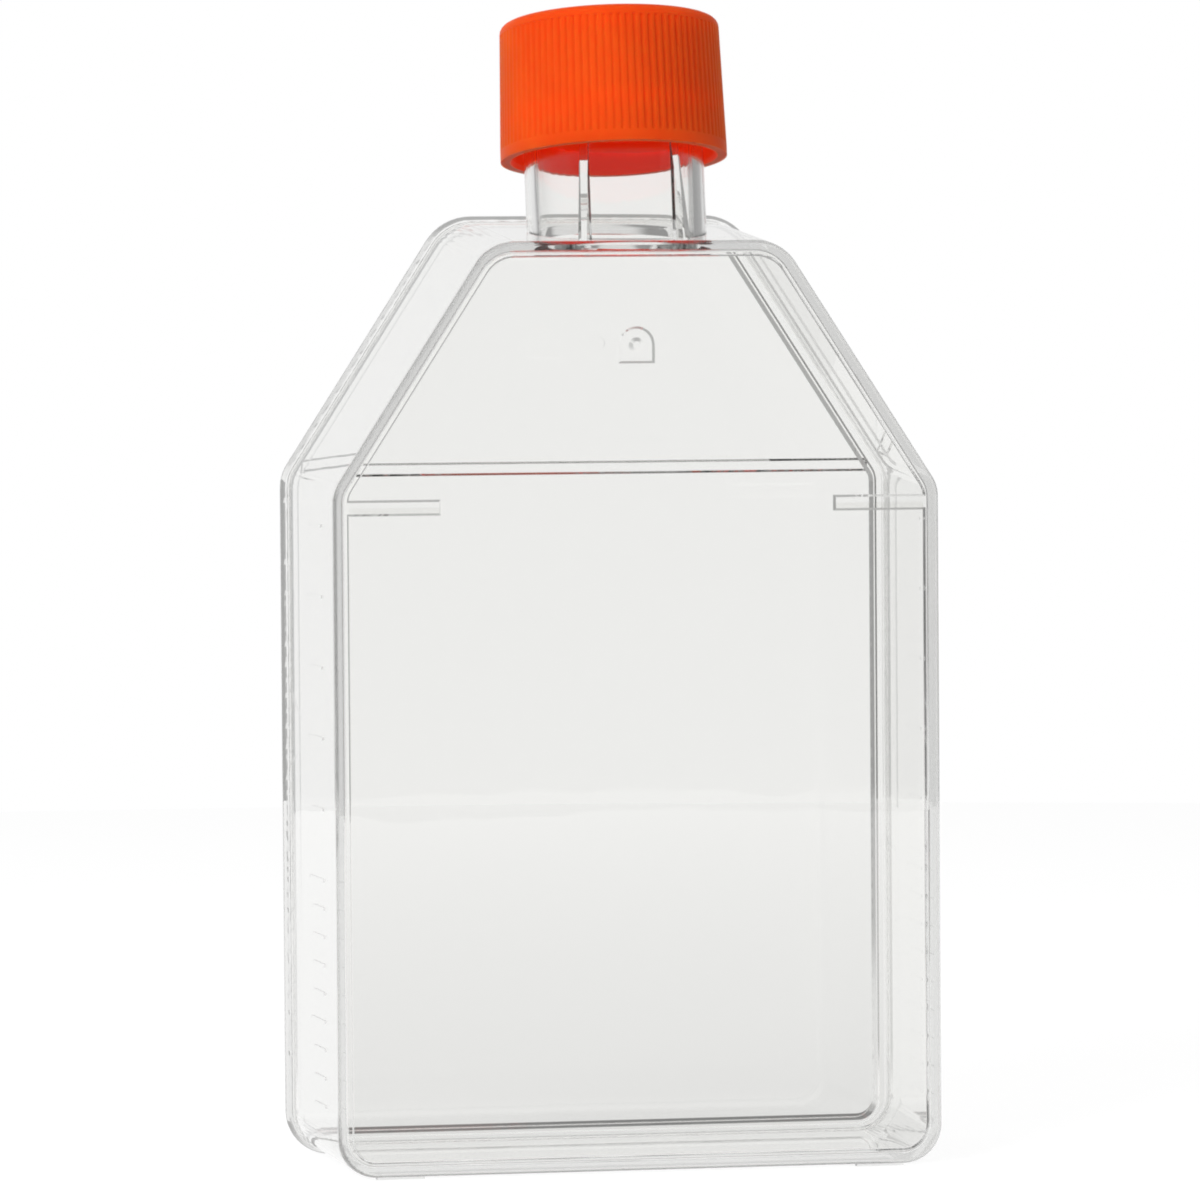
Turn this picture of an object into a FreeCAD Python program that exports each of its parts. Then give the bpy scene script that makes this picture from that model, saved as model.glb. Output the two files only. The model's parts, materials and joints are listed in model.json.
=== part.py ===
import FreeCAD, Part
import math
import os

from FreeCAD import Placement, Rotation, Vector

# A cell culture flask of about 75 square centimetres, stood on its base end.
# X runs across the flask, -Y faces out of the growth face, +Z runs towards the neck.
# The origin is the middle of the base end. All sizes are in millimetres.

# The vessel
DEPTH = 36.0                # growth face to top face
GROWTH_WIDTH = 82.0         # across the growth face
DRAFT = 1.05                # each side wall leans out by this much towards the top plate
GROWTH_HEIGHT = 124.2       # bench to neck end, at the growth face
SEAT_HEIGHT = 127.2         # the same, where the top plate is seated
BASE_EDGE = 0.3             # the base wall clears the bench by this much
NECK_END_WIDTH = 39.6       # flat between the two shoulders
SHOULDER_RUN = 0.644        # a shoulder runs in by this much for each unit it rises
BASE_RADIUS = 5.2
SHOULDER_RADIUS = 5.0
NECK_END_RADIUS = 6.5
GROWTH_WALL = 1.2           # side wall at the growth face
SEAT_WALL = 0.95            # side wall at the top plate
SHEET = 1.3                 # growth face and top plate
GROWTH_RIM = 1.8            # width of the growth face's raised rim
GROWTH_RELIEF = 0.35        # the growth face sits this far behind that rim
PLATE_RELIEF = 0.5          # the same for the top plate
RELIEF_SLOPE = 0.3          # a rim, bar or ridge is this much wider at its foot
EDGE_ROUND = 0.6
INNER_ROUND = 0.4

# The top plate, welded on the open side of the body
FLANGE = 0.7                # the plate stands out past the walls
FLANGE_CHAMFER = 0.4        # along its edge on the body's side
LIP_HEIGHT = 1.0
LIP_CREST = 1.25            # the lip is a rib with a sloping inner side
LIP_FOOT = 1.65
LIP_GAP = 0.3
PLATE_RIM = 2.4             # width of its own raised rim
BASE_TRIM = 0.4             # that rim and the lip's crest are this much narrower at the base
RIDGE_Z = 93.4              # stacking ridge across the shoulder line
RIDGE_HEIGHT = 1.2
RIDGE_REACH = 38.7

# Relief on the growth face
STOP_Z = 89.1              # short bars that stop a stacked flask from sliding
STOP_HEIGHT = 1.5
STOP_INNER = 26.9
GROWTH_STEP = 0.1           # the growth area is sunk a little below the shoulder area
FOOT_INNER = 29.4           # feet under the two front corners
GATE_Z = 110.4
GATE_RADIUS = 2.45
GATE_DEPTH = 0.35
GATE_TAPER = 0.3            # the gate mark's walls slope in by this much
GATE_NUB = 1.0
PLATE_GATE_X = 1.4          # the top plate's own gate mark, outside
PLATE_GATE_Z = 110.4
PLATE_GATE_RADIUS = 0.9
PLATE_GATE_DEPTH = 0.2

# Graduations moulded on both side walls
MARKS_ML = list(range(20, 100, 10)) + list(range(100, 250, 25))
LONG_MARKS_ML = (50, 100, 150, 200)
MARK_LENGTH = 7.6
LONG_MARK_LENGTH = 9.6
MARK_WIDTH = 0.4
MARK_HEIGHT = 0.15
MARK_START = 8.8            # from the growth face

# The neck leans back, away from the growth face. Its own heights count from the cap's rim.
CANT = 9.0
RIM_POINT = Vector(0, -2.8, 135.3)
NECK_RADIUS = 12.1
BORE_RADIUS = 10.4
NECK_ROOT = -15.0
NECK_MOUTH = 16.0
BORE_OVERRUN = 1.0          # the bore's cutter reaches this far past the neck's root
MOUTH_ROUND = 0.5
FIN_ANGLE = 30.0
FIN_WALL = 1.2
FIN_TOP = 1.8
FIN_FOOT = -14.0
FIN_FOOT_RADIUS = 14.3
FIN_SUNK = 0.8              # into the neck's wall

# The cap
CAP_HEIGHT = 18.6
CAP_RIM_RADIUS = 15.25
CAP_TOP_RADIUS = 14.8
CAP_BORE = 13.7
CAP_LEAD_IN = 0.2           # the bore opens out this much at the rim
CAP_LEAD_HEIGHT = 0.6
CAP_TOP_WALL = 1.5
CAP_EDGE_ROUND = 1.2
CAP_EDGE_STEPS = 5
COLLAR = 1.5                # smooth band under the grip
GROOVES = 90
GROOVE_DEPTH = 0.3
GROOVE_WIDTH = 0.62
TOP_BAND = 0.25             # smooth band over the grip
LINER_RADIUS = 13.2
SEAL_GAP = 0.05

GROWTH_Y = -DEPTH / 2
TOP_Y = DEPTH / 2
WINDOW_Y = GROWTH_Y + GROWTH_RELIEF
PLATE_WINDOW_Y = TOP_Y - PLATE_RELIEF
SEAT_Y = PLATE_WINDOW_Y - SHEET
SEAT_FORM = dict(lean=DRAFT, height=SEAT_HEIGHT, base=FLANGE)
RIM_FORM = dict(SEAT_FORM, base=FLANGE - BASE_TRIM)
TOLERANCE = 1e-4


def inset_corners(corners, distance):
    """Move every side of a closed outline inwards by one distance."""
    moved = []
    count = len(corners)
    for index in range(count):
        before, here, after = corners[index - 1], corners[index], corners[(index + 1) % count]
        first = math.atan2(here[1] - before[1], here[0] - before[0])
        second = math.atan2(after[1] - here[1], after[0] - here[0])
        middle = (first + second) / 2
        if abs(second - first) > math.pi:
            middle += math.pi
        reach = distance / math.cos(middle - first)
        moved.append((here[0] - reach * math.sin(middle), here[1] + reach * math.cos(middle)))
    return moved


def outline(y, lean=0.0, height=GROWTH_HEIGHT, base=BASE_EDGE, inset=0.0):
    """Closed outline of the flask in the plane y, with rounded corners."""
    half = GROWTH_WIDTH / 2 + lean
    half_end = NECK_END_WIDTH / 2
    shoulder = height - (half - half_end) / SHOULDER_RUN
    corners = [(-half, base), (half, base), (half, shoulder), (half_end, height),
               (-half_end, height), (-half, shoulder)]
    radii = [BASE_RADIUS, BASE_RADIUS, SHOULDER_RADIUS, NECK_END_RADIUS,
             NECK_END_RADIUS, SHOULDER_RADIUS]
    corners = inset_corners(corners, inset)
    arcs = []
    for index, corner in enumerate(corners):
        here = Vector(corner[0], y, corner[1])
        before = Vector(corners[index - 1][0], y, corners[index - 1][1])
        following = corners[(index + 1) % len(corners)]
        after = Vector(following[0], y, following[1])
        back = (before - here).normalize()
        onward = (after - here).normalize()
        half_angle = back.getAngle(onward) / 2
        radius = radii[index] - inset
        tangent = radius / math.tan(half_angle)
        centre = here + (back + onward).normalize() * (radius / math.sin(half_angle))
        middle = centre + (here - centre).normalize() * radius
        arcs.append(Part.Arc(here + back * tangent, middle, here + onward * tangent))
    edges = []
    for index, arc in enumerate(arcs):
        edges.append(arc.toShape())
        start = arc.EndPoint
        end = arcs[(index + 1) % len(arcs)].StartPoint
        edges.append(Part.LineSegment(start, end).toShape())
    return Part.Wire(edges)


def slab(wire, thickness):
    """Solid of one outline, pushed along Y."""
    return Part.Face(wire).extrude(Vector(0, thickness, 0))


def edges_in_plane(shape, y):
    """Edges that lie wholly in the plane y."""
    return [edge for edge in shape.Edges
            if abs(edge.BoundBox.YMin - y) < TOLERANCE and abs(edge.BoundBox.YMax - y) < TOLERANCE]


def box(x_low, x_high, y_low, y_high, z_low, z_high):
    corner = Vector(x_low, y_low, z_low)
    return Part.makeBox(x_high - x_low, y_high - y_low, z_high - z_low, corner)


def rectangle(x_low, x_high, y, z_low, z_high):
    corners = [(x_low, z_low), (x_high, z_low), (x_high, z_high), (x_low, z_high), (x_low, z_low)]
    return Part.makePolygon([Vector(x, y, z) for x, z in corners])


def sloped_bar(x_low, x_high, z_low, z_high, y_foot, y_crest):
    """Raised bar with sloping sides, wider at its foot than at its crest."""
    foot = rectangle(x_low - RELIEF_SLOPE, x_high + RELIEF_SLOPE, y_foot,
                     z_low - RELIEF_SLOPE, z_high + RELIEF_SLOPE)
    crest = rectangle(x_low, x_high, y_crest, z_low, z_high)
    return Part.makeLoft([foot, crest], True, True)


def sloped_pocket(y_rim, y_floor, inset, **form):
    """Shallow sink in one of the two faces, with a sloping wall all round."""
    rim = outline(y_rim, inset=inset, **form)
    floor = outline(y_floor, inset=inset + RELIEF_SLOPE, **form)
    return Part.makeLoft([rim, floor], True, True)


def on_neck(shape):
    """Place a shape, drawn about Z from the cap's rim, on the canted neck."""
    canted = Placement(RIM_POINT, Rotation(Vector(1, 0, 0), -CANT))
    shape.Placement = canted.multiply(shape.Placement)
    return shape


def turned(profile):
    """Solid turned about Z from (radius, height) points."""
    wire = Part.makePolygon([Vector(r, 0, s) for r, s in profile + profile[:1]])
    return Part.Face(wire).revolve(Vector(0, 0, 0), Vector(0, 0, 1), 360)


def side_wall_x(y):
    """Outer face of the right-hand wall."""
    return GROWTH_WIDTH / 2 + DRAFT * (y - GROWTH_Y) / (SEAT_Y - GROWTH_Y)


def graduation_mark(volume_ml, side):
    """One raised bar on a side wall, at the height of its volume with the flask upright."""
    inner_depth = SEAT_Y - WINDOW_Y - SHEET
    inner_area = (GROWTH_WIDTH + DRAFT - 2 * SEAT_WALL) * inner_depth
    z = BASE_EDGE + SEAT_WALL + volume_ml * 1000 / inner_area
    near = GROWTH_Y + MARK_START
    length = LONG_MARK_LENGTH if volume_ml in LONG_MARKS_ML else MARK_LENGTH
    far = near + length
    sunk = SEAT_WALL / 2
    bar = Part.makePolygon([
        Vector(side_wall_x(near) - sunk, near, z),
        Vector(side_wall_x(near) + MARK_HEIGHT, near, z),
        Vector(side_wall_x(far) + MARK_HEIGHT, far, z),
        Vector(side_wall_x(far) - sunk, far, z),
        Vector(side_wall_x(near) - sunk, near, z),
    ])
    bar = Part.Face(bar).extrude(Vector(0, 0, MARK_WIDTH))
    if side < 0:
        bar = bar.mirror(Vector(0, 0, 0), Vector(1, 0, 0))
    return bar


def neck_fin(side):
    """Thin gusset between the neck's front and the end wall."""
    inside = NECK_RADIUS - FIN_SUNK
    wire = Part.makePolygon([
        Vector(inside, -FIN_WALL / 2, FIN_FOOT),
        Vector(FIN_FOOT_RADIUS, -FIN_WALL / 2, FIN_FOOT),
        Vector(NECK_RADIUS, -FIN_WALL / 2, FIN_TOP),
        Vector(inside, -FIN_WALL / 2, FIN_TOP),
        Vector(inside, -FIN_WALL / 2, FIN_FOOT),
    ])
    fin = Part.Face(wire).extrude(Vector(0, FIN_WALL, 0))
    fin.rotate(Vector(0, 0, 0), Vector(0, 0, 1), -90 + side * FIN_ANGLE)
    return fin


def gate_arch(y, radius):
    """Closed arch with straight legs, in the plane y."""
    left, right = Vector(-radius, y, GATE_Z), Vector(radius, y, GATE_Z)
    low = Vector(0, 0, -radius)
    crown = Part.Arc(left, Vector(0, y, GATE_Z + radius), right)
    return Part.Wire([crown.toShape()] + Part.makePolygon([right, right + low, left + low, left]).Edges)


def growth_face_pockets():
    """Shallow sinks that leave the growth face's rim, its stop bars and the gate mark."""
    pocket = sloped_pocket(GROWTH_Y, WINDOW_Y, GROWTH_RIM)
    for side in (-1, 1):
        low, high = sorted((side * STOP_INNER, side * (GROWTH_WIDTH - GROWTH_RIM) / 2))
        stop = sloped_bar(low, high, STOP_Z - STOP_HEIGHT / 2, STOP_Z + STOP_HEIGHT / 2,
                          WINDOW_Y, GROWTH_Y)
        pocket = pocket.cut(stop)
    growth_area = slab(outline(WINDOW_Y, inset=GROWTH_RIM + RELIEF_SLOPE), GROWTH_STEP)
    below = box(-GROWTH_WIDTH / 2, GROWTH_WIDTH / 2, WINDOW_Y, SEAT_Y, 0, STOP_Z)
    growth_area = growth_area.common(below)

    gate_y = WINDOW_Y + GATE_DEPTH
    arch = Part.makeLoft([gate_arch(WINDOW_Y, GATE_RADIUS),
                          gate_arch(gate_y, GATE_RADIUS - GATE_TAPER)], True, True)
    nub = Part.makeCone(GATE_NUB, GATE_NUB / 2, GATE_DEPTH, Vector(0, gate_y, GATE_Z),
                        Vector(0, -1, 0))
    return [pocket, growth_area, arch.cut(nub)]


def flask_body():
    """Growth face, side walls, shoulders and neck, moulded as one open tray."""
    outside = Part.makeLoft([outline(GROWTH_Y), outline(SEAT_Y, **SEAT_FORM)], True, True)
    outside = outside.makeFillet(EDGE_ROUND, edges_in_plane(outside, GROWTH_Y))

    floor_y = WINDOW_Y + SHEET
    cavity = Part.makeLoft([outline(floor_y, inset=GROWTH_WALL),
                            outline(SEAT_Y, inset=SEAT_WALL, **SEAT_FORM)], True, True)
    cavity = cavity.makeFillet(INNER_ROUND, edges_in_plane(cavity, floor_y))

    neck = on_neck(turned([
        (0, NECK_ROOT), (NECK_RADIUS, NECK_ROOT), (NECK_RADIUS, NECK_MOUTH - MOUTH_ROUND),
        (NECK_RADIUS - MOUTH_ROUND, NECK_MOUTH), (0, NECK_MOUTH),
    ]))
    bore_end = NECK_ROOT - BORE_OVERRUN
    bore = on_neck(turned([
        (0, bore_end), (BORE_RADIUS, bore_end), (BORE_RADIUS, NECK_MOUTH - MOUTH_ROUND),
        (BORE_RADIUS + MOUTH_ROUND, NECK_MOUTH), (0, NECK_MOUTH),
    ]))
    fins = [on_neck(neck_fin(side)) for side in (-1, 1)]

    body = outside.fuse([neck] + fins)
    body = body.cut([cavity, bore] + growth_face_pockets())
    marks = [graduation_mark(volume, side) for volume in MARKS_ML for side in (-1, 1)]
    body = body.fuse(marks)
    foot_y = GROWTH_Y + GROWTH_RIM
    feet = []
    for side in (-1, 1):
        low, high = sorted((side * FOOT_INNER, side * (GROWTH_WIDTH / 2 - BASE_RADIUS)))
        feet.append(box(low, high, GROWTH_Y + EDGE_ROUND, foot_y, 0, BASE_EDGE + GROWTH_WALL / 2))
    return body.fuse(feet)


def top_plate():
    """Flat lid with a raised rim, a stacking ridge and a lip that locates it in the walls."""
    plate = slab(outline(SEAT_Y, inset=-FLANGE, **SEAT_FORM), TOP_Y - SEAT_Y)
    plate = plate.makeFillet(EDGE_ROUND, edges_in_plane(plate, TOP_Y))
    plate = plate.makeChamfer(FLANGE_CHAMFER, edges_in_plane(plate, SEAT_Y))
    pocket = sloped_pocket(TOP_Y, PLATE_WINDOW_Y, PLATE_RIM - FLANGE, **RIM_FORM)
    ridge = sloped_bar(-RIDGE_REACH, RIDGE_REACH, RIDGE_Z - RIDGE_HEIGHT / 2,
                       RIDGE_Z + RIDGE_HEIGHT / 2, PLATE_WINDOW_Y, TOP_Y)
    gate = Part.makeCylinder(PLATE_GATE_RADIUS, PLATE_GATE_DEPTH,
                             Vector(PLATE_GATE_X, PLATE_WINDOW_Y - PLATE_GATE_DEPTH, PLATE_GATE_Z),
                             Vector(0, 1, 0))
    plate = plate.cut([pocket.cut(ridge), gate])

    lip_y = SEAT_Y - LIP_HEIGHT
    outer = SEAT_WALL + LIP_GAP
    lip = slab(outline(lip_y, inset=outer, **SEAT_FORM), LIP_HEIGHT)
    hollow = Part.makeLoft([outline(lip_y, inset=outer + LIP_CREST, **RIM_FORM),
                            outline(SEAT_Y, inset=outer + LIP_FOOT, **SEAT_FORM)], True, True)
    return plate.fuse(lip.cut(hollow)).removeSplitter()


def grip_ring(radius, height):
    """Closed ring of flat-topped ribs with a V-shaped groove between each two."""
    step = 2 * math.pi / GROOVES
    half_groove = GROOVE_WIDTH / 2 / CAP_RIM_RADIUS
    points = []
    for index in range(GROOVES):
        middle = index * step
        for angle, reach in ((middle - half_groove, radius), (middle, radius - GROOVE_DEPTH),
                             (middle + half_groove, radius)):
            points.append(Vector(reach * math.cos(angle), reach * math.sin(angle), height))
    return Part.makePolygon(points + points[:1])


def screw_cap():
    """Moulded cap: plain collar, ribbed grip and rounded top."""
    grip_end = CAP_HEIGHT - CAP_EDGE_ROUND - TOP_BAND
    collar = turned([(0, 0), (CAP_RIM_RADIUS, 0), (CAP_RIM_RADIUS, COLLAR), (0, COLLAR)])
    grip = Part.makeLoft([grip_ring(CAP_RIM_RADIUS, COLLAR), grip_ring(CAP_TOP_RADIUS, grip_end)],
                         True, True)
    edge = []
    for step in range(CAP_EDGE_STEPS + 1):
        angle = math.pi / 2 * step / CAP_EDGE_STEPS
        edge.append((CAP_TOP_RADIUS - CAP_EDGE_ROUND * (1 - math.cos(angle)),
                     CAP_HEIGHT - CAP_EDGE_ROUND * (1 - math.sin(angle))))
    top = turned([(0, grip_end), (CAP_TOP_RADIUS, grip_end)] + edge + [(0, CAP_HEIGHT)])
    hollow = turned([
        (0, 0), (CAP_BORE + CAP_LEAD_IN, 0), (CAP_BORE, CAP_LEAD_HEIGHT),
        (CAP_BORE, CAP_HEIGHT - CAP_TOP_WALL), (0, CAP_HEIGHT - CAP_TOP_WALL),
    ])
    return on_neck(collar.fuse([grip, top]).cut(hollow))


def cap_liner():
    """Sealing disc held in the top of the cap, just over the neck's mouth."""
    low = NECK_MOUTH + SEAL_GAP
    high = CAP_HEIGHT - CAP_TOP_WALL - SEAL_GAP
    return on_neck(turned([(0, low), (LINER_RADIUS, low), (LINER_RADIUS, high), (0, high)]))


PARTS = {
    "flask_body": flask_body,
    "top_plate": top_plate,
    "screw_cap": screw_cap,
    "cap_liner": cap_liner,
}

os.makedirs("parts", exist_ok=True)
for name, make in PARTS.items():
    shape = make()
    shape.exportStep("parts/" + name + ".step")
    size = shape.BoundBox
    print(name, "valid", shape.isValid(), "solids", len(shape.Solids), "faces", len(shape.Faces),
          "volume", round(shape.Volume), "box", [round(v, 2) for v in (
              size.XMin, size.YMin, size.ZMin, size.XMax, size.YMax, size.ZMax)])
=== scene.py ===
import bmesh
import bpy
import json
import math
from mathutils import Matrix, Vector, geometry, kdtree, noise


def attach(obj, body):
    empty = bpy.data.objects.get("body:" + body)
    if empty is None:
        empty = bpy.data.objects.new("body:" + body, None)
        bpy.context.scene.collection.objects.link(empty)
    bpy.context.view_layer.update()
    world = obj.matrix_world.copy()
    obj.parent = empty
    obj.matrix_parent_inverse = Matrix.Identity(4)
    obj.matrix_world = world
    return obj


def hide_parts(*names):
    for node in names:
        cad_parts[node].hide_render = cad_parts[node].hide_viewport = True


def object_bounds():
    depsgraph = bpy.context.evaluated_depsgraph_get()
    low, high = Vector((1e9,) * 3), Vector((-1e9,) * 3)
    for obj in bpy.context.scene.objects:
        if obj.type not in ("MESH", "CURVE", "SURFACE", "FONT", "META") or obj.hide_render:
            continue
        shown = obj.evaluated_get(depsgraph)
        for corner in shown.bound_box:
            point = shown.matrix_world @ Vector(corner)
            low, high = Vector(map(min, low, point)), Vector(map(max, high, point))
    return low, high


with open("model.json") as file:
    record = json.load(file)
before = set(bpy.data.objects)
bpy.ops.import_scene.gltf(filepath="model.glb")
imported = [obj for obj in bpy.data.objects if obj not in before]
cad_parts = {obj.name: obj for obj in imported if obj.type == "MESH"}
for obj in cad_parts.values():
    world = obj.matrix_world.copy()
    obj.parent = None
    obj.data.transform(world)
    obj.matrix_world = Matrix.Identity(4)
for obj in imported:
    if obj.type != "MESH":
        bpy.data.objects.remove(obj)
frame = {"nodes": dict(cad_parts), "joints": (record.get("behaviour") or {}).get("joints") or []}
cad_box = [list(map(float, corner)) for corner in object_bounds()]
MM = 0.001


# ---------------------------------------------------------------------------
# Flask body: one clear polystyrene moulding with the growth face, the walls,
# the shoulders and the canted neck. The weld line at its open side carries the
# top plate. Polystyrene is glass-clear, faintly grey in depth, and not quite flat.
# ---------------------------------------------------------------------------
POLYSTYRENE_CLEAR = (1.0, 1.0, 0.99, 1.0)
POLYSTYRENE_IOR = 1.59
POLYSTYRENE_DEPTH = (0.50, 0.50, 0.49, 1.0)
POLYSTYRENE_DENSITY = 12.0          # absorption per metre
SHADOW_CLEARNESS = (0.86, 0.86, 0.86, 1.0)
FLOW_WAVES = 60.0                   # waves per metre that melt flow leaves in the sheet
FLOW_HEIGHT = 0.02 * MM
WELD_SATIN = 0.22                   # roughness of the bead along the weld
MIX_SOCKETS = {                     # a Mix node's two inputs and its output, by kind
    "FLOAT": (2, 3, 0), "VECTOR": (4, 5, 1), "RGBA": (6, 7, 2)}


def add_node(tree, kind, settings=None, inputs=None):
    """One shader node, with its settings and the value or output that feeds each input."""
    added = tree.nodes.new("ShaderNode" + kind)
    for name, value in (settings or {}).items():
        setattr(added, name, value)
    for name, source in (inputs or {}).items():
        if isinstance(source, bpy.types.NodeSocket):
            tree.links.new(source, added.inputs[name])
        else:
            added.inputs[name].default_value = source
    return added


def maths(tree, operation, *terms):
    """Result of a Math node on numbers or outputs."""
    added = add_node(tree, "Math", {"operation": operation}, dict(enumerate(terms)))
    return added.outputs["Value"]


def vectors(tree, operation, *terms):
    """Vector that a Vector Math node makes of vectors or outputs."""
    added = add_node(tree, "VectorMath", {"operation": operation}, dict(enumerate(terms)))
    return added.outputs["Vector"]


def blend(tree, kind, factor, first, second):
    """Mix of two values, vectors or colours."""
    left, right, result = MIX_SOCKETS[kind]
    added = add_node(tree, "Mix", {"data_type": kind}, {0: factor, left: first, right: second})
    return added.outputs[result]


def remap(tree, value, low, high, to_low=0.0, to_high=1.0, ease="LINEAR"):
    """Value carried from one range to another, and held at its ends."""
    added = add_node(tree, "MapRange", {"interpolation_type": ease}, {
        "Value": value, "From Min": low, "From Max": high, "To Min": to_low, "To Max": to_high})
    return added.outputs["Result"]


def new_material(name):
    material = bpy.data.materials.new(name)
    material.use_nodes = True
    material.node_tree.nodes.clear()
    return material, material.node_tree


def clear_polystyrene():
    material, tree = new_material("body_polystyrene")
    place = add_node(tree, "TexCoord")
    waves = add_node(tree, "TexNoise", inputs={
        "Vector": place.outputs["Object"], "Scale": FLOW_WAVES, "Detail": 1.0})
    bump = add_node(tree, "Bump", inputs={
        "Height": waves.outputs["Fac"], "Distance": FLOW_HEIGHT})
    weld = add_node(tree, "Attribute", {"attribute_name": "weld"})
    shader = add_node(tree, "BsdfPrincipled", inputs={
        "Base Color": POLYSTYRENE_CLEAR, "IOR": POLYSTYRENE_IOR, "Transmission Weight": 1.0,
        "Roughness": maths(tree, "MULTIPLY", weld.outputs["Fac"], WELD_SATIN),
        "Normal": bump.outputs["Normal"]})
    through = add_node(tree, "BsdfTransparent", inputs={"Color": SHADOW_CLEARNESS})
    path = add_node(tree, "LightPath")
    surface = add_node(tree, "MixShader", inputs={
        0: path.outputs["Is Shadow Ray"], 1: shader.outputs["BSDF"], 2: through.outputs["BSDF"]})
    depth = add_node(tree, "VolumeAbsorption", inputs={
        "Color": POLYSTYRENE_DEPTH, "Density": POLYSTYRENE_DENSITY})
    add_node(tree, "OutputMaterial", inputs={
        "Surface": surface.outputs["Shader"], "Volume": depth.outputs["Volume"]})
    return material


body_finish = clear_polystyrene()


# ---------------------------------------------------------------------------
# Neck thread: a little under two right-hand turns of a blunt ridge, moulded with
# the neck. It is raised on the outside, and runs out to nothing at both ends.
# ---------------------------------------------------------------------------
PITCH = 4.0 * MM
THREAD_ROOT = 1.8 * MM
THREAD_TIP = 0.8 * MM
NECK_WALL_INSIDE = 11.6 * MM
NECK_WALL = 12.1 * MM
NECK_CREST = 13.15 * MM
NECK_START = 4.6 * MM
NECK_TURNS = 1.75
STEPS_A_TURN = 96
RUN_OUT = 10                        # steps over which an end fades

turn_joint = next(joint for joint in frame["joints"] if joint["name"] == "cap_turn")
neck_axis = Vector(turn_joint["axis"]).normalized()
across = Vector((1, 0, 0))
from_rim = Matrix.Translation(Vector(turn_joint["pos_m"])) @ Matrix(
    (across, neck_axis.cross(across), neck_axis)).transposed().to_4x4()


def thread(name, sunk, wall, crest, start, turns):
    """Blunt ridge up a right-hand helix, rooted in the wall at the radius sunk."""
    steps = round(turns * STEPS_A_TURN)
    mesh = bpy.data.meshes.new(name)
    shape = bmesh.new()
    rings = []
    for step in range(steps + 1):
        angle = 2 * math.pi * step / STEPS_A_TURN
        rise = min(1.0, (step + 0.5) / RUN_OUT, (steps - step + 0.5) / RUN_OUT)
        tip = wall + (crest - wall) * rise
        height = start + PITCH * step / STEPS_A_TURN
        ring = []
        for reach, side in ((sunk, -THREAD_ROOT), (wall, -THREAD_ROOT), (tip, -THREAD_TIP),
                            (tip, THREAD_TIP), (wall, THREAD_ROOT), (sunk, THREAD_ROOT)):
            place = Vector((reach * math.cos(angle), reach * math.sin(angle), height + side / 2))
            ring.append(shape.verts.new(from_rim @ place))
        rings.append(ring)
    for lower, upper in zip(rings, rings[1:]):
        for index in range(len(lower)):
            following = (index + 1) % len(lower)
            shape.faces.new((lower[index], lower[following], upper[following], upper[index]))
    shape.faces.new(rings[0][::-1])
    shape.faces.new(rings[-1])
    bmesh.ops.recalc_face_normals(shape, faces=shape.faces)
    shape.to_mesh(mesh)
    shape.free()
    piece = bpy.data.objects.new(name, mesh)
    bpy.context.collection.objects.link(piece)
    return piece


neck_thread = thread("neck_thread", NECK_WALL_INSIDE, NECK_WALL, NECK_CREST, NECK_START, NECK_TURNS)


# ---------------------------------------------------------------------------
# Top plate: the second clear moulding, welded on the open side of the body. The
# weld leaves no gap, so light meets the two mouldings as one clear vessel.
# ---------------------------------------------------------------------------
WELD_Y = 16.1 * MM                  # along the foot of the plate's flange
WELD_OUT = 0.10 * MM                # centre of the bead, out from the wall's face
WELD_LEAST = 0.17 * MM
WELD_MOST = 0.40 * MM
WELD_STEP = 0.7 * MM
WELD_SIDES = 8
WELD_LUMP = 1.4 * MM                # length of one swelling along the bead
SEAT_Y = 16.2 * MM
MERGE_REACH = 5e-7
SLIVER = 3e-6                       # a cut leaves points this close, and they become one
SAME_CORNER = 4e-6
SAME_FACING = 0.9999


def weld_bead():
    """Uneven clear bead that the weld squeezes out under the flange, all round the vessel."""
    points = [vertex.co for vertex in frame["nodes"]["flask_body"].data.vertices
              if abs(vertex.co.y - SEAT_Y) < SAME_CORNER]
    corners = [Vector((points[index].x, points[index].z))
               for index in geometry.convex_hull_2d([(point.x, point.z) for point in points])]
    path = []
    for here, following in zip(corners, corners[1:] + corners[:1]):
        pieces = max(1, round((following - here).length / WELD_STEP))
        path += [here.lerp(following, piece / pieces) for piece in range(pieces)]
    mesh = bpy.data.meshes.new("weld_bead")
    shape = bmesh.new()
    rings = []
    for index, here in enumerate(path):
        along = (path[(index + 1) % len(path)] - path[index - 1]).normalized()
        out = Vector((along.y, -along.x))
        swell = 0.5 + noise.noise(Vector((here.x, 0, here.y)) / WELD_LUMP)
        radius = WELD_LEAST + (WELD_MOST - WELD_LEAST) * min(1.0, max(0.0, swell))
        ring = []
        for side in range(WELD_SIDES):
            angle = 2 * math.pi * (side + 0.5) / WELD_SIDES
            reach = here + out * (WELD_OUT + radius * math.cos(angle))
            ring.append(shape.verts.new((reach.x, WELD_Y + radius * math.sin(angle), reach.y)))
        rings.append(ring)
    for lower, upper in zip(rings, rings[1:] + rings[:1]):
        for index in range(WELD_SIDES):
            following = (index + 1) % WELD_SIDES
            shape.faces.new((lower[index], lower[following], upper[following], upper[index]))
    bmesh.ops.recalc_face_normals(shape, faces=shape.faces)
    shape.to_mesh(mesh)
    shape.free()
    melted = mesh.attributes.new("weld", "FLOAT", "POINT")
    for value in melted.data:
        value.value = 1.0
    bead = bpy.data.objects.new("weld_bead", mesh)
    bpy.context.collection.objects.link(bead)
    return bead


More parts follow.
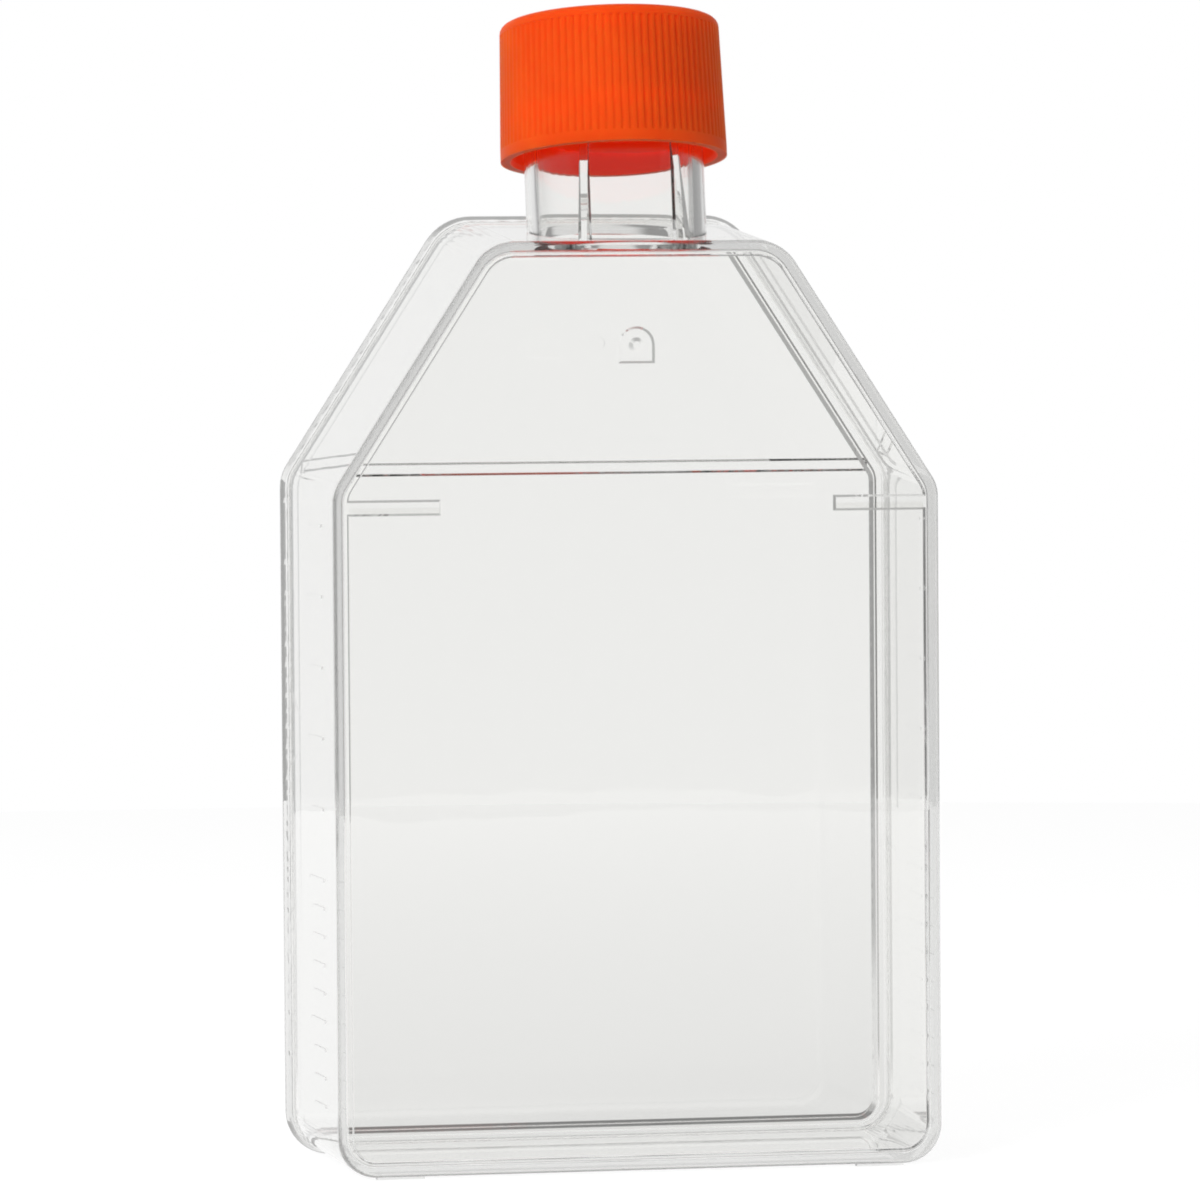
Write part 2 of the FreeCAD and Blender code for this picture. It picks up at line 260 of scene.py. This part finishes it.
def joined_up(node):
    """Closed copy of a CAD node's mesh, with each corner's points merged to one."""
    mesh = frame["nodes"][node].data.copy()
    mesh.attributes.remove(mesh.attributes["custom_normal"])
    shape = bmesh.new()
    shape.from_mesh(mesh)
    bmesh.ops.remove_doubles(shape, verts=shape.verts, dist=MERGE_REACH)
    shape.to_mesh(mesh)
    shape.free()
    piece = bpy.data.objects.new(node + "_copy", mesh)
    bpy.context.collection.objects.link(piece)
    return piece


def fused(name, parts):
    """One closed mesh of several overlapping or touching ones."""
    first = parts[0]
    for part in parts[1:]:
        weld = first.modifiers.new("weld", "BOOLEAN")
        weld.operation = "UNION"
        weld.solver = "MANIFOLD"
        weld.object = part
    bpy.context.view_layer.update()
    depsgraph = bpy.context.evaluated_depsgraph_get()
    mesh = bpy.data.meshes.new_from_object(first.evaluated_get(depsgraph))
    shape = bmesh.new()
    shape.from_mesh(mesh)
    bmesh.ops.remove_doubles(shape, verts=shape.verts, dist=SLIVER)
    shape.to_mesh(mesh)
    shape.free()
    piece = bpy.data.objects.new(name, mesh)
    bpy.context.collection.objects.link(piece)
    for part in parts:
        bpy.data.objects.remove(part)
    return piece


def keep_curves(piece, nodes):
    """Give each corner of a fused mesh the true surface direction of the CAD corner there."""
    corners = []
    for node in nodes:
        mesh = frame["nodes"][node].data
        for polygon in mesh.polygons:
            for index in polygon.loop_indices:
                corners.append((mesh.vertices[mesh.loops[index].vertex_index].co.copy(),
                                polygon.normal.copy(), mesh.corner_normals[index].vector.copy()))
    tree = kdtree.KDTree(len(corners))
    for index, corner in enumerate(corners):
        tree.insert(corner[0], index)
    tree.balance()
    mesh = piece.data
    directions = [None] * len(mesh.loops)
    for polygon in mesh.polygons:
        polygon.use_smooth = True
        for index in polygon.loop_indices:
            here = mesh.vertices[mesh.loops[index].vertex_index].co
            near = [corners[found[1]] for found in tree.find_range(here, SAME_CORNER)]
            near = [corner for corner in near if corner[1].dot(polygon.normal) > SAME_FACING]
            best = max(near, key=lambda corner: corner[1].dot(polygon.normal), default=None)
            directions[index] = best[2] if best else polygon.normal
    mesh.normals_split_custom_set(directions)


vessel = fused("clear_vessel", [joined_up("flask_body"), joined_up("top_plate"), neck_thread,
                                weld_bead()])
keep_curves(vessel, ("flask_body", "top_plate"))
vessel.data.materials.clear()
vessel.data.materials.append(body_finish)
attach(vessel, "flask")
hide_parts("flask_body", "top_plate")


def dress(node, material):
    """Give a carried-over CAD node its finish."""
    for slot in frame["nodes"][node].material_slots:
        slot.material = material


# ---------------------------------------------------------------------------
# Cap liner: a punched disc of white polyethylene foam, pressed in the cap. Painted shade darkens
# its cell pits, and a painted glow stands in for light through the cap.
# ---------------------------------------------------------------------------
# painted shade: the foam's colour darkens into the pits of its cells
FOAM_PAINTED_PIT_SHADE = (0.72, 0.72, 0.70, 1.0)
FOAM_WHITE = (0.86, 0.86, 0.84, 1.0)
FOAM_CELLS = 2500.0                 # per metre
FOAM_CELL_HEIGHT = 0.1 * MM
FOAM_ROUGHNESS = 0.7
LINER_PAINTED_GLOW = (0.40, 0.030, 0.010, 1.0)  # painted glow: emission standing in for light that soaks through the orange cap


def liner_foam():
    material, tree = new_material("liner_foam")
    place = add_node(tree, "TexCoord")
    cells = add_node(tree, "TexVoronoi", inputs={
        "Vector": place.outputs["Object"], "Scale": FOAM_CELLS})
    bump = add_node(tree, "Bump", inputs={
        "Height": cells.outputs["Distance"], "Distance": FOAM_CELL_HEIGHT})
    # painted shade, deepest at the bottom of each cell pit
    pit_shade = remap(tree, cells.outputs["Distance"], 0.0, 1.0)
    shader = add_node(tree, "BsdfPrincipled", inputs={
        "Base Color": blend(tree, "RGBA", pit_shade, FOAM_PAINTED_PIT_SHADE, FOAM_WHITE), "Roughness": FOAM_ROUGHNESS,
        # the emission paints the liner's glow
        "Normal": bump.outputs["Normal"], "Emission Color": LINER_PAINTED_GLOW, "Emission Strength": 1.0})
    add_node(tree, "OutputMaterial", inputs={"Surface": shader.outputs["BSDF"]})
    return material


dress("cap_liner", liner_foam())


# ---------------------------------------------------------------------------
# Screw cap: an orange polyethylene moulding with a satin spark-eroded finish.
# Light soaks through its wall, so the ribs look soft, and the inside carries a painted glow.
# ---------------------------------------------------------------------------
CAP_ORANGE = (0.84, 0.086, 0.007, 1.0)
CAP_ORANGE_DEEP = (0.79, 0.074, 0.006, 1.0)
CAP_CLOUDS = 120.0                  # per metre
CLOUD_BAND = (0.35, 0.65)
CAP_SATIN = (0.42, 0.55)            # roughness
CAP_GRAIN = 4500.0                  # per metre
CAP_GRAIN_HEIGHT = 0.02 * MM
CAP_GRAIN_STRENGTH = 0.6
POLYETHYLENE_IOR = 1.51
POLYETHYLENE_GLOSS = 0.12           # a fine grain takes most of the mirror look
CAP_SOAK = 2.0 * MM                 # how far red light travels in the plastic
CAP_SOAK_COLOURS = (1.0, 0.5, 0.3)
# painted glow of the cap's inside, as emission, for light that soaks through its wall
CAP_PAINTED_GLOW = (0.33, 0.006, 0.001, 1.0)
CAP_INSIDE = 14.0 * MM              # the painted glow lies within this radius
CAP_CEILING = 17.3 * MM
GRIP = 14.3 * MM                    # the ribs stand outside this radius
GRIP_ENDS = (1.5 * MM, 17.15 * MM)
RIB_SOFTNESS = 0.6                  # how far the light that soaks about hides the ribs


def cap_plastic():
    material, tree = new_material("cap_polyethylene")
    place = add_node(tree, "TexCoord")
    cloud = add_node(tree, "TexNoise", inputs={
        "Vector": place.outputs["Object"], "Scale": CAP_CLOUDS, "Detail": 3.0})
    grain = add_node(tree, "TexNoise", inputs={
        "Vector": place.outputs["Object"], "Scale": CAP_GRAIN, "Detail": 2.0})
    bump = add_node(tree, "Bump", inputs={
        "Height": grain.outputs["Fac"], "Distance": CAP_GRAIN_HEIGHT,
        "Strength": CAP_GRAIN_STRENGTH})

    from_axis = vectors(tree, "SUBTRACT", place.outputs["Object"], turn_joint["pos_m"])
    sideways = vectors(tree, "CROSS_PRODUCT", from_axis, neck_axis)
    radius = add_node(tree, "VectorMath", {"operation": "LENGTH"}, {0: sideways}).outputs["Value"]
    height = add_node(tree, "VectorMath", {"operation": "DOT_PRODUCT"}, {
        0: from_axis, 1: neck_axis}).outputs["Value"]
    # where the painted glow lies: inside the cap's bore, under its ceiling
    painted_glow = maths(tree, "MULTIPLY", maths(tree, "LESS_THAN", radius, CAP_INSIDE),
                 maths(tree, "LESS_THAN", height, CAP_CEILING))
    grip = maths(tree, "MULTIPLY", maths(tree, "GREATER_THAN", height, GRIP_ENDS[0]),
                 maths(tree, "LESS_THAN", height, GRIP_ENDS[1]))
    ribs = maths(tree, "MULTIPLY", grip, maths(tree, "GREATER_THAN", radius, GRIP))
    outwards = add_node(tree, "VectorTransform", {
        "vector_type": "NORMAL", "convert_from": "OBJECT", "convert_to": "WORLD"}, {
        0: vectors(tree, "CROSS_PRODUCT", neck_axis, sideways)}).outputs["Vector"]

    shader = add_node(tree, "BsdfPrincipled", inputs={
        "Base Color": blend(tree, "RGBA", remap(tree, cloud.outputs["Fac"], *CLOUD_BAND),
                            CAP_ORANGE_DEEP, CAP_ORANGE),
        "Roughness": remap(tree, cloud.outputs["Fac"], 0.0, 1.0, *CAP_SATIN),
        "IOR": POLYETHYLENE_IOR, "Specular IOR Level": POLYETHYLENE_GLOSS,
        "Normal": blend(tree, "VECTOR", maths(tree, "MULTIPLY", ribs, RIB_SOFTNESS),
                        bump.outputs["Normal"], outwards),
        "Subsurface Weight": 1.0, "Subsurface Radius": CAP_SOAK_COLOURS,
        "Subsurface Scale": CAP_SOAK,
        "Emission Color": CAP_PAINTED_GLOW, "Emission Strength": painted_glow})
    add_node(tree, "OutputMaterial", inputs={"Surface": shader.outputs["BSDF"]})
    return material


cap_finish = cap_plastic()
dress("screw_cap", cap_finish)

# The cap's own thread hangs under the neck's, and stands out of the cap's bore.
CAP_WALL_INSIDE = 14.1 * MM
CAP_BORE = 13.7 * MM
CAP_CREST = 12.65 * MM
CAP_START = NECK_START - 1.65 * MM  # leaves play between the two ridges
CAP_TURNS = 1.5
CAP_THREAD_CREASE = math.radians(30)

cap_thread = thread("cap_thread", CAP_WALL_INSIDE, CAP_BORE, CAP_CREST, CAP_START, CAP_TURNS)
cap_thread.data.materials.append(cap_finish)
for face in cap_thread.data.polygons:
    face.use_smooth = True
cap_thread.data.set_sharp_from_angle(angle=CAP_THREAD_CREASE)
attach(cap_thread, "cap")


# ---------------------------------------------------------------------------
# Floor: a plain pale sheet under the flask, which keeps its shadow. Plastic that
# looks on it at a glancing angle finds it white, and at a steep one finds it grey.
# Close behind the plate, plastic finds a painted shadow on it.
# ---------------------------------------------------------------------------
FLOOR_REACH = 0.75
FLOOR_SIDES = 64
FLOOR_DROP = 0.1 * MM
FLOOR_PAINT = (0.80, 0.80, 0.80, 1.0)
FLOOR_EYE = (0.36, 0.36, 0.36, 1.0)     # paint and white as the eye finds them directly
FLOOR_WHITE = 0.80
FLOOR_SEEN = (0.16, 0.16, 0.16, 1.0)    # paint and white as plastic finds them
FLOOR_NEAR = 0.73
FLOOR_FAR = 0.89
FLOOR_FADE = (50.0 * MM, 750.0 * MM)
FLOOR_DIM = 0.35                    # the floor at a steep look through plastic
STEEP_LOOK = 0.60
GLANCING_LOOK = 0.80
FLOOR_MIRRORED = 0.88
FRONT_DIM = (-60.0 * MM, -20.0 * MM)    # the floor in front mirrors dim up to here
SCREEN_EDGE = 0.78                  # how far round from +Y the white screen fades out
SCREEN_CORE = 0.90
SECTOR_BACK = (0.0, 0.4, 0.0)       # the screen's sector of the floor opens this far in front
ROOM_DIM = 0.40                     # the room that plastic bends or mirrors into sight
CONTACT_PAINTED_SHADOW = 0.10                # painted shadow on the floor close behind the plate, for looks through the plastic
CONTACT_NEAR = 18.6 * MM
CONTACT_FAR = 21.7 * MM
CONTACT_SOFT = 0.4 * MM


def floor_paint():
    material, tree = new_material("floor_paint")
    path = add_node(tree, "LightPath")
    place = add_node(tree, "TexCoord")
    depth = add_node(tree, "SeparateXYZ", inputs={0: place.outputs["Object"]}).outputs["Y"]
    bearing = vectors(tree, "NORMALIZE", vectors(tree, "ADD", place.outputs["Object"], SECTOR_BACK))
    ahead = add_node(tree, "SeparateXYZ", inputs={0: bearing}).outputs["Y"]
    sector = remap(tree, ahead, SCREEN_EDGE, SCREEN_CORE, ease="SMOOTHSTEP")
    slant = add_node(tree, "LayerWeight").outputs["Facing"]
    glance = remap(tree, slant, STEEP_LOOK, GLANCING_LOOK, ease="SMOOTHSTEP")
    level = remap(tree, depth, *FLOOR_FADE, FLOOR_NEAR, FLOOR_FAR)
    through = blend(tree, "FLOAT", maths(tree, "MULTIPLY", glance, sector), FLOOR_DIM, level)
    mirrored = remap(tree, depth, *FRONT_DIM, ROOM_DIM, FLOOR_MIRRORED, "SMOOTHSTEP")
    mirror = maths(tree, "MINIMUM", path.outputs["Glossy Depth"], 1.0)
    own = blend(tree, "FLOAT", mirror, through, mirrored)
    # painted shadow: the floor dims in a strip close behind the plate, for looks that aren't direct
    painted_shadow_strip = maths(tree, "MULTIPLY",
                  remap(tree, depth, CONTACT_NEAR, CONTACT_NEAR + CONTACT_SOFT),
                  remap(tree, depth, CONTACT_FAR - CONTACT_SOFT, CONTACT_FAR, 1.0, 0.0))
    own = blend(tree, "FLOAT", painted_shadow_strip, own, CONTACT_PAINTED_SHADOW)
    own = blend(tree, "FLOAT", path.outputs["Is Camera Ray"], own, FLOOR_WHITE)
    own = blend(tree, "FLOAT", path.outputs["Is Diffuse Ray"], own, 0.0)
    tone = blend(tree, "RGBA", path.outputs["Is Camera Ray"], FLOOR_SEEN, FLOOR_EYE)
    tone = blend(tree, "RGBA", path.outputs["Is Diffuse Ray"], tone, FLOOR_PAINT)
    paint = add_node(tree, "BsdfDiffuse", inputs={"Color": tone})
    white = add_node(tree, "Emission", inputs={"Strength": own})
    both = add_node(tree, "AddShader", inputs={
        0: paint.outputs["BSDF"], 1: white.outputs["Emission"]})
    add_node(tree, "OutputMaterial", inputs={"Surface": both.outputs["Shader"]})
    return material


floor_mesh = bpy.data.meshes.new("floor")
floor_shape = bmesh.new()
bmesh.ops.create_circle(floor_shape, cap_ends=True, radius=FLOOR_REACH, segments=FLOOR_SIDES)
floor_shape.to_mesh(floor_mesh)
floor_shape.free()
floor_mesh.materials.append(floor_paint())
floor = bpy.data.objects.new("floor", floor_mesh)
bpy.context.collection.objects.link(floor)
floor.location.z = cad_box[0][2] - FLOOR_DROP


# ---------------------------------------------------------------------------
# Room: a white screen behind the flask, and a dimmer room round it that grey
# edges in the plastic come from. It is plain white to the eye.
# ---------------------------------------------------------------------------
SCREEN_MIRRORED = 0.84              # the screen as the plastic's faces mirror it
ROOM_FRONT = 0.24                   # the room on the camera's side
FRONT_EDGE = -0.15
FRONT_CORE = -0.60
ROOM_SOFT = 0.38                    # the room as it lights paint and plastic
MOST_BOUNCES = 64                   # light follows a clear wall for many turns before it leaves
PICTURE_SOFTNESS = 2.0

world = bpy.data.worlds.new("white_screen")
bpy.context.scene.world = world
world.use_nodes = True
tree = world.node_tree
tree.nodes.clear()
path = add_node(tree, "LightPath")
direction = add_node(tree, "TexCoord")
ahead = add_node(tree, "SeparateXYZ", inputs={0: direction.outputs["Generated"]}).outputs["Y"]
front = remap(tree, ahead, FRONT_CORE, FRONT_EDGE, ROOM_FRONT, ROOM_DIM, "SMOOTHSTEP")
screen = remap(tree, ahead, SCREEN_EDGE, SCREEN_CORE, front, 1.0, "SMOOTHSTEP")
bounced = remap(tree, path.outputs["Glossy Depth"], 0.0, 1.0, 1.0, SCREEN_MIRRORED)
room = maths(tree, "MULTIPLY", screen, bounced)
room = blend(tree, "FLOAT", path.outputs["Is Diffuse Ray"], room, ROOM_SOFT)
room = blend(tree, "FLOAT", path.outputs["Is Camera Ray"], room, 1.0)
backdrop = add_node(tree, "Background", inputs={"Color": (1.0, 1.0, 1.0, 1.0), "Strength": room})
add_node(tree, "OutputWorld", inputs={"Surface": backdrop.outputs["Background"]})

light_paths = bpy.context.scene.cycles
light_paths.max_bounces = MOST_BOUNCES
light_paths.glossy_bounces = MOST_BOUNCES
light_paths.transmission_bounces = MOST_BOUNCES
light_paths.filter_width = PICTURE_SOFTNESS


# ---------------------------------------------------------------------------
# Lamps: a large soft box in front on the left, and a small fill on the right.
# ---------------------------------------------------------------------------
LAMP_AIM = Vector((0.0, 0.0, 0.08))
KEY_PLACE = Vector((-0.75, -0.85, 0.75))
KEY_SIZE = 0.55
KEY_POWER = 12.0
FILL_PLACE = Vector((0.9, -0.5, 0.35))
FILL_SIZE = 0.5
FILL_POWER = 0.5


def soft_box(name, place, size, power):
    """Square lamp that lights paint and shadow, and that clear plastic does not show."""
    light = bpy.data.lights.new(name, "AREA")
    light.shape = "SQUARE"
    light.size = size
    light.energy = power
    lamp = bpy.data.objects.new(name, light)
    bpy.context.collection.objects.link(lamp)
    lamp.location = place
    lamp.rotation_euler = (LAMP_AIM - place).to_track_quat("-Z", "Y").to_euler()
    lamp.visible_glossy = False
    lamp.visible_transmission = False


soft_box("key", KEY_PLACE, KEY_SIZE, KEY_POWER)
soft_box("fill", FILL_PLACE, FILL_SIZE, FILL_POWER)


# ---------------------------------------------------------------------------
# Camera: a long lens, a little to the left of the growth face.
# ---------------------------------------------------------------------------
CAMERA_AIM = Vector((-1.8, 0.0, 75.85)) * MM
CAMERA_DISTANCE = 1.0743
CAMERA_AZIMUTH = math.radians(-10.96)
CAMERA_RISE = math.radians(2.22)
CAMERA_ROLL = math.radians(-0.42)
CAMERA_LENS = 238.4
CAMERA_SENSOR = 36.0

back = Vector((math.sin(CAMERA_AZIMUTH) * math.cos(CAMERA_RISE),
               -math.cos(CAMERA_AZIMUTH) * math.cos(CAMERA_RISE), math.sin(CAMERA_RISE)))
level_right = Vector((math.cos(CAMERA_AZIMUTH), math.sin(CAMERA_AZIMUTH), 0))
level_up = back.cross(level_right)
right = level_right * math.cos(CAMERA_ROLL) + level_up * math.sin(CAMERA_ROLL)
lens = bpy.data.cameras.new("camera")
lens.lens = CAMERA_LENS
lens.sensor_width = CAMERA_SENSOR
camera = bpy.data.objects.new("camera", lens)
bpy.context.collection.objects.link(camera)
camera.matrix_world = Matrix.Translation(CAMERA_AIM + back * CAMERA_DISTANCE) @ Matrix(
    (right, back.cross(right), back)).transposed().to_4x4()
bpy.context.scene.camera = camera
bpy.context.scene.view_settings.view_transform = "Standard"
